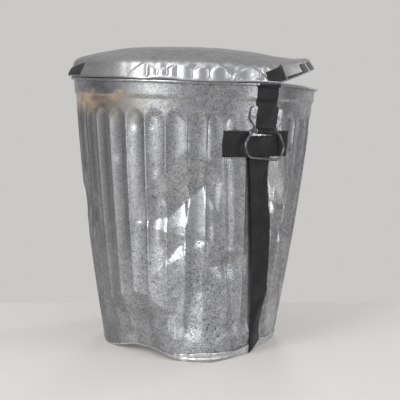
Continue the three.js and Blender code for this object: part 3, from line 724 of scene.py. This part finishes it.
# Azimuth from the first ridge on, and height of the hem's top edge. It is beaten down in front on
# the left, and stands out crumpled in front.
HEM_TOPS = np.array([
    (FIRST_RIDGE, 18), (16, 17), (27, 12), (33, 16), (36, 18), (58, 18), (66, 12), (88, 12),
    (100, 18), (255, 18), (275, 4), (341, 3), (349, 6), (358, 14), (FIRST_RIDGE + 360, 18),
])
LOOSE_HEM = 10  # azimuth of the middle of the stretch that stands out


def hem_crumple(azimuth, z):
    """How far the outside of the hem stands off the wall's foot, with a dented line along it."""
    place = crushed(azimuth, wall_radius(z), z)
    aside = turn_between(azimuth, LOOSE_HEM)
    loose = smooth(aside, -22, -8) * smooth(-aside, -22, -8)
    swelling = 0.5 + 0.6 * swell(place, 45, 3) + 0.3 * swell(place, 17, 4)
    line = np.maximum(0, 1 - np.abs(z - 9 - 0.12 * aside) / 2.5)
    folds = 2.2 + 1.8 * swell(place, 30, 5) - 2.6 * line
    return np.maximum(0, swelling + loose * folds) * smooth(z, 1, 6)


# ---------------------------------------------------------------- ears, rivets and bails


def unit(vector):
    return np.asarray(vector) / np.linalg.norm(vector)


class Axes:
    """A piece's own frame: its x, y and z directions and its origin."""

    def __init__(self, x, y, z, origin):
        self.turn = np.array([x, y, z])
        self.origin = origin

    def place(self, points):
        return np.asarray(points, float) @ self.turn + self.origin


def ear_axes(side):
    """Across the ear, into the can and up, from the middle of the knuckle."""
    azimuth = float(EAR_AZIMUTHS[side])
    out = wall_normal(azimuth, BAIL_HEIGHT)
    up = off_wall(azimuth, BAIL_HEIGHT + EAR_HEIGHT, 0) - off_wall(azimuth, BAIL_HEIGHT, 0)
    right = unit(np.cross(up, out))
    cant = -radians(EAR_CANTS[side])
    right = right * cos(cant) + np.cross(out, right) * sin(cant)
    seat = off_wall(azimuth, BAIL_HEIGHT, EAR_SEAT + KNUCKLE_RADIUS)
    return Axes(right, -out, np.cross(out, right), seat)


def bail_axes(side):
    """The same for the bail, which hangs straight down."""
    ear = ear_axes(side)
    right = ear.turn[0]
    up = unit(np.array([0, 0, 1]) - right * right[2])
    return Axes(right, np.cross(up, right), up, ear.origin)


# Half widths of the ear's plate from the knuckle up, and the share of its height that each is at.
EAR_PLATE = [
    (25, 0.08), (25.2, 0.14), (26.5, 0.19), (30, 0.27), (35, 0.37), (38, 0.44), (39, 0.5),
    (39, 0.7), (39, 0.84), (38.2, 0.91), (36.4, 0.965), (33.5, 1),
]


def make_ear(side):
    """The knuckle's curl, and the plate above it."""
    outline = []
    for angle in np.radians(np.linspace(265, 0, 22)):
        y, z = KNUCKLE_RADIUS * cos(angle), -KNUCKLE_RADIUS * sin(angle)
        outline.append((KNUCKLE_HALF_LENGTH, y, z))
    outline += [(half, KNUCKLE_RADIUS, share * EAR_HEIGHT) for half, share in EAR_PLATE]
    axes = ear_axes(side)
    rows = [axes.place(stack(half * SHARES, y, z)) for half, y, z in outline]
    ear = mesh_piece(f"ear_{side}", rows, "can", FITTINGS)
    return thickened(ear, EAR_THICKNESS)


# Radius and depth into the can, from the middle of the set head inside to that of the domed head.
RIVET_PROFILE = [
    (0.01, 6.25), (2.5, 6.25), (4.1, 6.0), (4.1, 5.15), (2.4, 5.15), (2.4, -1.05), (5.2, -1.05),
    (5.5, -1.3), (5.2, -1.9), (4.4, -2.5), (3.2, -2.95), (1.7, -3.2), (0.01, -3.25),
]


def make_rivet(side, place, sign):
    """Domed head outside, shank through ear and wall, and a set head inside."""
    axes = ear_axes(side)
    angles = np.radians(np.arange(0, 360, 18))
    rows = []
    for radius, depth in RIVET_PROFILE:
        x = sign * RIVET_OFFSET + radius * np.cos(angles)
        z = RIVET_RISE + radius * np.sin(angles)
        rows.append(axes.place(stack(x, KNUCKLE_RADIUS + depth, z)))
    name = f"rivet_{side}_{place}"
    return mesh_piece(name, rows, "can", FITTINGS, closed=True, caps=True)


# The bail's corners on one side: across, up, and how far from the corner its bend starts and ends.
BAIL_CORNERS = [(32, 0, 6), (50, -27, 14), (38, -51, 12)]


def bail_path():
    """Points along the bail in its own frame, from one end in the knuckle round to the other."""
    corners = BAIL_CORNERS + [(-x, z, bend) for x, z, bend in reversed(BAIL_CORNERS)]
    half_gap = 0.3  # between the wire's ends
    ends = [np.array([half_gap, 0, 0]), np.array([-half_gap, 0, 0])]
    path = [ends[0]]
    for index, (x, z, bend) in enumerate(corners):
        corner = np.array([x, 0, z], float)
        beyond = corners[index + 1] if index + 1 < len(corners) else None
        target = ends[1] if beyond is None else np.array([beyond[0], 0, beyond[1]])
        enter = corner + unit(path[-1] - corner) * bend
        leave = corner + unit(target - corner) * bend
        for step in np.linspace(0, 1, 7):
            path.append((1 - step) ** 2 * enter + 2 * step * (1 - step) * corner + step**2 * leave)
    return np.array([*path, ends[1]])


def make_bail(side):
    path = bail_path()
    along = np.gradient(path, axis=0)
    along /= np.linalg.norm(along, axis=1, keepdims=True)
    along[0] = along[-1] = (1, 0, 0)
    axes = bail_axes(side)
    rows = []
    for point, ahead in zip(path, along):
        across = np.cross(ahead, (0, 1, 0))
        ring = [
            point + BAIL_WIRE_RADIUS * (cos(turn) * across + sin(turn) * np.array([0, 1, 0]))
            for turn in np.radians(np.arange(0, 360, 30))
        ]
        rows.append(axes.place(ring))
    return mesh_piece(f"bail_{side}", rows, f"{side}_bail", BAIL, closed=True, caps=True)


# ---------------------------------------------------------------- tape on the can


def half_turn(z):
    """Half the tape's width in degrees."""
    return np.degrees(TAPE_WIDTH / 2 / wall_radius(z))


def on_wall(azimuth, z, distance=ON_TAPED):
    """A point of tape that follows the dents, and spans the flutes."""
    depth = knocked_in(azimuth, z)
    wrinkle = 0.35 * np.maximum(0, swell(crushed(azimuth, wall_radius(z), z), 14, 8))
    return off_wall(azimuth, z, distance + wrinkle, depth)


def tape_piece(name, rows, body="can"):
    return thickened(mesh_piece(name, rows, body, BLACK_TAPE), TAPE)


def make_lower_strap():
    """From a slanting cut over the hem up to the cross strap, leaning left as it climbs."""
    top = 389.4
    foot_azimuth, top_azimuth = 48, 33.5
    above_hem = HEM_HEIGHT + 2 * CLEARANCE
    off_hem = above_hem + 12

    def strap_row(heights):
        middle = foot_azimuth + (top_azimuth - foot_azimuth) * heights / top
        over_hem = NESTED * (1 - ramp(heights, above_hem, off_hem))
        edge = 1 + 0.012 * np.sin(heights / 9.0) + 0.01 * np.sin(heights / 3.7)
        azimuth = middle + SHARES * edge * half_turn(heights)
        return on_wall(azimuth, heights, ON_TAPED + over_hem)

    cut = 1.5 + 15 * (SHARES + 1) / 2
    rows = [strap_row(cut + (above_hem + 1 - cut) * share) for share in (0, 0.3, 0.6)]
    rows += [strap_row(np.full_like(SHARES, z)) for z in np.linspace(above_hem + 1, top, 110)]
    return tape_piece("tape_lower", rows)


def make_cross_strap():
    """Round the can, cut out under the front knuckle, with frayed long edges."""
    left, right = 13.7, 51
    low, high = 390, 440
    azimuth = np.linspace(left, right, 60)
    reach = np.degrees((KNUCKLE_HALF_LENGTH + 6) / MOUTH_RADIUS)
    from_ear = np.abs(turn_between(azimuth, EAR_AZIMUTHS["front"]))
    under_knuckle = BAIL_HEIGHT - KNUCKLE_RADIUS - EAR_THICKNESS - 2
    top = under_knuckle + (high - under_knuckle) * smooth(from_ear, reach, reach + 2)
    fray = 0.35 * np.sin(azimuth * 1.9) + 0.2 * np.sin(azimuth * 5.3)
    rows = []
    for share in np.linspace(0, 1, 21):
        slant = azimuth + np.where(azimuth < 20, 1, -1) * 0.15 * np.sin(share * 9)
        rows.append(on_wall(slant, low + (top - low) * share + fray * abs(2 * share - 1)))
    return tape_piece("tape_cross", rows)


def make_upper_strap():
    """From the rolled rim down over the ear's plate to the front of its knuckle."""
    axes = ear_axes("front")
    gap = 0.4  # between the ear and the tape
    over_ear = KNUCKLE_RADIUS + EAR_THICKNESS / 2 + gap + TAPE / 2
    plate_face = KNUCKLE_RADIUS - EAR_THICKNESS / 2 - gap - TAPE / 2
    azimuth = EAR_AZIMUTHS["front"]

    def ear_row(y, z):
        wrinkle = 0.3 * np.maximum(0, np.sin(SHARES * 7 + z / 6))
        return axes.place(stack(SHARES * TAPE_WIDTH / 2, y - wrinkle, z))

    over_knuckle = np.radians(np.linspace(-50, 90, 15))
    rows = [ear_row(-over_ear * cos(angle), over_ear * sin(angle)) for angle in over_knuckle]
    rows += [ear_row(plate_face, z) for z in np.linspace(2 * over_ear, EAR_HEIGHT + 1, 14)]
    below_swage = np.linspace(491, SWAGE_TOP, 6)
    above_swage = np.linspace(507, ROLL_HEIGHT - 2 * ROLL_RADIUS, 5)
    for z in (*below_swage, *above_swage):
        rows.append(off_wall(azimuth + SHARES * half_turn(z), z, np.full_like(SHARES, ON_TAPED)))
    over_roll = ROLL_RADIUS + ON_TAPED
    for angle in np.radians(np.linspace(-60, 20, 7)):
        z = ROLL_HEIGHT + over_roll * sin(angle)
        radius = MOUTH_RADIUS + ROLL_RADIUS + over_roll * cos(angle)
        rows.append(crushed(azimuth + SHARES * half_turn(z), radius, z))
    return tape_piece("tape_upper", rows)


# ---------------------------------------------------------------- lid

# Radius and height above the rim's crest, from the ledge's inner edge out, up the skirt and over
# the shoulder to the foot of the dome.
LID_PROFILE = np.array([
    (244.1, LID_SEAT), (250, LID_SEAT), (254.6, LID_SEAT), (256.1, 1.0), (257.0, 2.1),
    (257.1, 3.6), (256.7, 6.5), (256.1, 10), (255.5, 13.5), (254.9, 17), (254.4, 20.5),
    (253.9, 24), (253.4, 27), (252.5, 29.8), (250.6, 32.4), (247.6, 34.9), (243.8, 37.4),
    (239.6, 39.8), (235.3, 41.5), (231.1, 42.9),
])
SKIRT_PROFILE = LID_PROFILE[2:]  # from the ledge's outer edge on
DOME_FOOT, SHOULDER_TOP = LID_PROFILE[-1]


def lid_radius(height):
    """Radius of the skirt or the shoulder at a height above the rim's crest."""
    return np.interp(height, SKIRT_PROFILE[:, 1], SKIRT_PROFILE[:, 0])


def dome_height(radius):
    middle, foot = 68.7, 42.7
    return middle + (foot - middle) * (radius / DOME_FOOT) ** 2.4


# Azimuth and height of the upper edge of the lobes that the hammering left in the skirt, and the
# azimuths of the creases between them.
LOBE_EDGE = np.array([
    (-34, 2), (-28.6, 7), (-24.5, 21), (-21, 30), (-19.6, 27), (-16.5, 21), (-13, 18), (-9, 23),
    (-6.4, 29), (-3, 28), (0.1, 17), (3.3, 26), (6.3, 24), (7.3, 8), (8.8, 20), (11.3, 28),
    (14.5, 25.5), (17, 8), (20.2, 19), (27.1, 29), (31, 20), (35, 3),
])
LOBE_CREASES = np.array([-34, -28.6, -19.6, -15, -11, -6.4, 0.1, 7.3, 17.3, 20, 31, 35])


def pleats(azimuth, radius, height):
    """How far the hammering pressed the front of the skirt in, round lobes that stayed out."""
    turned = turn_between(azimuth, 0)
    near = smooth(turned, -33, -20) * smooth(-turned, -36, -31)
    lobe = np.clip(np.searchsorted(LOBE_CREASES, turned) - 1, 0, len(LOBE_CREASES) - 2)
    share = ramp(turned, LOBE_CREASES[lobe], LOBE_CREASES[lobe + 1])
    edge = np.interp(turned, LOBE_EDGE[:, 0], LOBE_EDGE[:, 1])
    out = np.sin(pi * share) ** 0.7 * (1 - smooth(height, edge - 3, edge + 4))
    uneven = 1 + 0.25 * np.sin(np.radians(turned * 31)) + 0.2 * np.sin(np.radians(turned * 57))
    return 4.6 * near * (1 - out) * uneven * smooth(height, 2, 8) * smooth(radius, 195, 232)


def pushed_over(azimuth, radius, height):
    """How far the skirt's left end leans in."""
    left_end = -92
    near = smooth(-np.abs(turn_between(azimuth, left_end)), -60, -22)
    return 8 * near * smooth(height, 1.5, 27) * smooth(radius, 120, 232)


# Azimuth and height of the waves in the bead along the skirt's foot.
BEAD_WAVES = np.array([
    (-40, 0), (-33, 0.5), (-24, -1.2), (-20, -1), (-14, 2.4), (-8, 1.4), (-4, -2), (3, -2),
    (7, -2.6), (12, -1.8), (19, -1), (28, 1), (36, 0),
])


def bead_wave(azimuth, radius, height):
    wave = np.interp(turn_between(azimuth, 0), BEAD_WAVES[:, 0], BEAD_WAVES[:, 1])
    return wave * smooth(radius, 255, 256.2) * (1 - smooth(height, 3, 16))


def flat_lid(azimuth, radius, height):
    """A point of the lid before it was folded, slid left on the rim."""
    azimuth, radius, height = np.broadcast_arrays(azimuth, radius, height)
    knocked = radius - pleats(azimuth, radius, height) - pushed_over(azimuth, radius, height)
    angle = np.radians(azimuth)
    waved = height + bead_wave(azimuth, radius, height)
    return stack(knocked * np.sin(angle) - LID_SHIFT, -knocked * np.cos(angle), waved)


def folded(points):
    """The lid's right end is folded up, pressed together on both sides of the fold."""
    x, y, height = np.moveaxis(points, -1, 0)
    turn = radians(FLAP_ANGLE)
    along = x - FLAP_START
    pressed = tan(turn / 2) * np.maximum(0, 1 - np.abs(along) / FOLD_REACH)
    lower = height * (1 - FLAP_FLATTENING * ramp(along, 0, FOLD_REACH))
    out = along + lower * pressed
    flap_x = FLAP_START + out * cos(turn) - lower * sin(turn)
    flap_z = out * sin(turn) + lower * cos(turn)
    on_flap = along > 0
    new_x = np.where(on_flap, flap_x, x - height * pressed)
    new_z = np.where(on_flap, flap_z, height)
    return stack(new_x, y, new_z + CAN_HEIGHT - MOUTH_SLOPE * new_x)


def lid_dents(points):
    """Shallow dents and swells over the dome."""
    on_top = smooth(points[..., 2], 32, 46)
    depth = 1.2 + 1.1 * swell(points, 130, 21) + 0.35 * swell(points, 45, 22)
    return points - stack(0, 0, on_top * depth)


LID_COLUMNS = 720
LID_AZIMUTHS = np.arange(LID_COLUMNS) * 360 / LID_COLUMNS


def make_lid():
    """Rows from the ledge out, up the bead, the skirt and the shoulder, and in over the dome."""
    profile = [*LID_PROFILE[:5]]
    profile += [(lid_radius(height), height) for height in np.arange(3, SHOULDER_TOP, 1.1)]
    profile += [(radius, dome_height(radius)) for radius in DOME_FOOT * np.linspace(0.97, 0.04, 34)]
    rows = [flat_lid(LID_AZIMUTHS, radius, height) for radius, height in profile]
    rows = folded(lid_dents(np.array(rows)))
    centre = folded(lid_dents(flat_lid(0, 0, dome_height(0))))
    lid = mesh_piece("lid_sheet", rows, "lid", LID, closed=True, centre=centre)
    return thickened(lid, SHEET)


def on_lid(azimuth, height):
    """A point of tape on the skirt or shoulder, off the sheet's middle."""
    level = np.clip(height, LID_SEAT, SHOULDER_TOP)
    slope = lid_radius(level + 1) - lid_radius(level - 1)
    outward = 2 / np.hypot(slope, 2)
    upward = -slope / np.hypot(slope, 2)
    off = ON_TAPED + 0.25 * np.maximum(0, np.sin(azimuth * 1.3 + height / 3))
    return folded(flat_lid(azimuth, lid_radius(level) + off * outward, level + off * upward))


def make_lid_patch(name, left, right, low, high_left, high_right):
    """A patch between two azimuths. Its edges' heights are shares of the skirt's."""
    azimuth = np.linspace(left, right, 24)
    tops = np.linspace(high_left, high_right, 24)
    rows = []
    for share in np.linspace(0, 1, 16):
        rows.append(on_lid(azimuth, LID_SEAT + SKIRT_HEIGHT * (low + (tops - low) * share)))
    return tape_piece(name, rows, "lid")


# ---------------------------------------------------------------- assembly

make_wall()
make_rim_wire()
make_bottom()
for side in ("front", "back"):
    make_ear(side)
    make_rivet(side, "left", -1)
    make_rivet(side, "right", 1)
    make_bail(side)
make_lower_strap()
make_cross_strap()
make_upper_strap()
make_lid()
make_lid_patch("tape_lid_right", 34, 45, 0.1, 0.71, 1.18)
make_lid_patch("tape_lid_left", -80, -59, 0.1, 0.54, 0.93)
make_lid_patch("tape_lid_edge", 46, 59, 0.09, 0.25, 0.25)
make_lid_patch("tape_lid_end_front", 60, 66, 0.09, 0.93, 0.93)
make_lid_patch("tape_lid_end_side", 69, 76, 0.09, 0.93, 0.93)

# ---------------------------------------------------------------- studio


def plane(name, corners, material):
    mesh = bpy.data.meshes.new(name)
    mesh.from_pydata(corners, [], [(0, 1, 2, 3)])
    mesh.materials.append(material)
    thing = bpy.data.objects.new(name, mesh)
    bpy.context.scene.collection.objects.link(thing)
    thing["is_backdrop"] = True
    return thing


def painted(name, colour, seen=None, evenly=1.0, one_sided=False):
    """Matt paint. What is seen of it may be mixed with an even colour, which hides uneven light."""
    material, tree, shader = new_material(name, Roughness=0.7)
    shader.inputs["Base Color"].default_value = (*colour, 1)
    surface = shader.outputs[0]
    if seen:
        rays = add_node(tree, "LightPath").outputs
        looked = maths(tree, "MAXIMUM", rays["Is Camera Ray"], rays["Is Glossy Ray"])
        looked = maths(tree, "MAXIMUM", looked, rays["Is Transmission Ray"])
        even = add_node(tree, "Emission", {0: (*seen, 1), 1: 1}).outputs[0]
        share = times(tree, looked, evenly)
        surface = add_node(tree, "MixShader", {0: share, 1: surface, 2: even}).outputs[0]
    if one_sided:
        facing = add_node(tree, "NewGeometry").outputs["Backfacing"]
        clear = add_node(tree, "BsdfTransparent").outputs[0]
        surface = add_node(tree, "MixShader", {0: facing, 1: surface, 2: clear}).outputs[0]
    tree.links.new(surface, tree.nodes["Material Output"].inputs[0])
    return material


LIT_PLACE = Vector((0, 0, 0.3))  # where the lights point


def soft_light(name, azimuth, elevation, distance, size, power):
    """An area light that faces the can."""
    lamp = bpy.data.lights.new(name, "AREA")
    lamp.shape = "RECTANGLE"
    lamp.size, lamp.size_y = size
    lamp.energy = power
    thing = bpy.data.objects.new(name, lamp)
    angle, rise = radians(azimuth), radians(elevation)
    offset = Vector((sin(angle) * cos(rise), -cos(angle) * cos(rise), sin(rise))) * distance
    thing.location = LIT_PLACE + offset
    thing.rotation_euler = offset.to_track_quat("Z", "Y").to_euler()
    thing.visible_camera = False
    bpy.context.scene.collection.objects.link(thing)


def flag(name, azimuth, distance, width, height):
    """A dark board out of view, which the metal reflects."""
    angle = radians(azimuth)
    middle = Vector((sin(angle) * distance, -cos(angle) * distance, 0))
    along = Vector((cos(angle), sin(angle), 0)) * (width / 2)
    up = Vector((0, 0, height))
    corners = [middle - along, middle + along, middle + along + up, middle - along + up]
    board = plane(name, corners, DARK_BOARD)
    board.visible_camera = False
    board.visible_shadow = False
    board.visible_diffuse = False


DARK_BOARD = painted("dark_board", (0.03, 0.03, 0.032))
WIDE = 4  # half the width of the floor and the backdrop
BEHIND = 0.321  # how far the backdrop stands behind the can's middle
TALL = 3
plane(
    "floor", [(-WIDE, -WIDE, 0), (WIDE, -WIDE, 0), (WIDE, WIDE, 0), (-WIDE, WIDE, 0)],
    painted("pale_floor", (0.5, 0.485, 0.47), seen=(0.5, 0.475, 0.455), evenly=0.25),
)
backdrop = plane(
    "backdrop",
    [(-WIDE, BEHIND, 0), (WIDE, BEHIND, 0), (WIDE, BEHIND, TALL), (-WIDE, BEHIND, TALL)],
    painted("pale_backdrop", (0.72, 0.72, 0.72), seen=(0.585, 0.58, 0.575), one_sided=True),
)
backdrop.visible_shadow = False
# Azimuth and elevation in degrees, distance and size in metres, and power in watts.
soft_light("key", -36, 25, 2.2, (0.95, 1.5), 43)
soft_light("top", -10, 74, 2.4, (2.4, 1.6), 24)
soft_light("right", 62, 14, 2.1, (0.3, 1.3), 13)
soft_light("far_right", 128, 24, 2.4, (0.4, 1.3), 17)
soft_light("behind", 176, 10, 2.6, (0.4, 1.0), 16)
# Azimuth, distance, width and height.
flag("flag_left", -106, 1.2, 1.2, 2.2)
flag("flag_right", 95, 1.4, 0.8, 2.2)

world = bpy.data.worlds.new("studio")
world.use_nodes = True
world.node_tree.nodes["Background"].inputs[0].default_value = (0.42, 0.42, 0.43, 1)
bpy.context.scene.world = world

CAMERA_PLACE = (0.0115, -2.35, 0.53)
CAMERA_PITCH = 5.99  # degrees down
LENS = 101.25
SENSOR_WIDTH = 36

camera_data = bpy.data.cameras.new("camera")
camera_data.lens = LENS
camera_data.sensor_width = SENSOR_WIDTH
camera = bpy.data.objects.new("camera", camera_data)
camera.location = CAMERA_PLACE
camera.rotation_euler = (radians(90 - CAMERA_PITCH), 0, 0)
bpy.context.scene.collection.objects.link(camera)
bpy.context.scene.camera = camera
bpy.context.scene.view_settings.view_transform = "Standard"

boxes = {"cad": cad_box, "look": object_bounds()}
{name: [list(corner) for corner in box] for name, box in boxes.items()}
